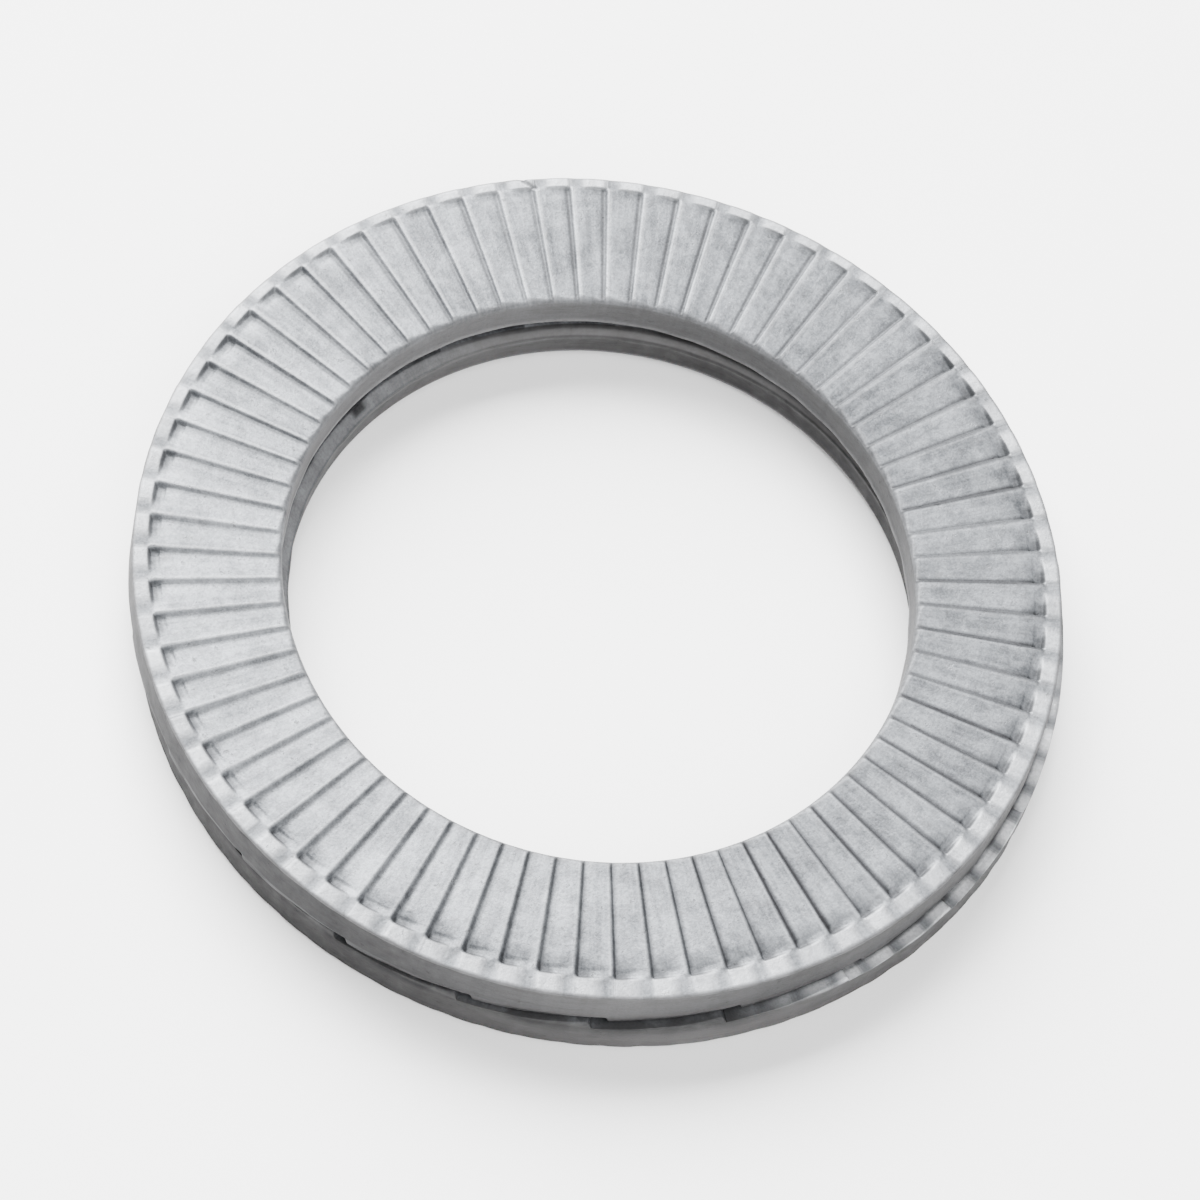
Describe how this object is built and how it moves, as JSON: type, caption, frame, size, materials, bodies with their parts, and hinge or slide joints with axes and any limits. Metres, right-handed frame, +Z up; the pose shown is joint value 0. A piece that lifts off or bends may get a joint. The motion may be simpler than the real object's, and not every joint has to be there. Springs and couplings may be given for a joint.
{
  "type": "wedge lock washer pair",
  "caption": "Pair of flat ring washers with interlocking wedge cams between them and fine radial teeth on both outer faces, glued together ready for use.",
  "frame": {"origin": "on the pair's middle axis, halfway between the axes of the two washers, in the plane of the lower washer's tooth crests", "axes": "+Z up along the bolt axis, from the lower washer to the upper one; +X from the upper washer's axis towards the lower washer's axis"},
  "size_m": [0.035, 0.0344, 0.0035],
  "materials": {
    "zinc_flake_steel": "hardened steel with a matt silver-grey zinc-flake coating"
  },
  "bodies": {
    "root": {"upper_washer": "zinc_flake_steel", "lower_washer": "zinc_flake_steel"}
  },
  "joints": []
}
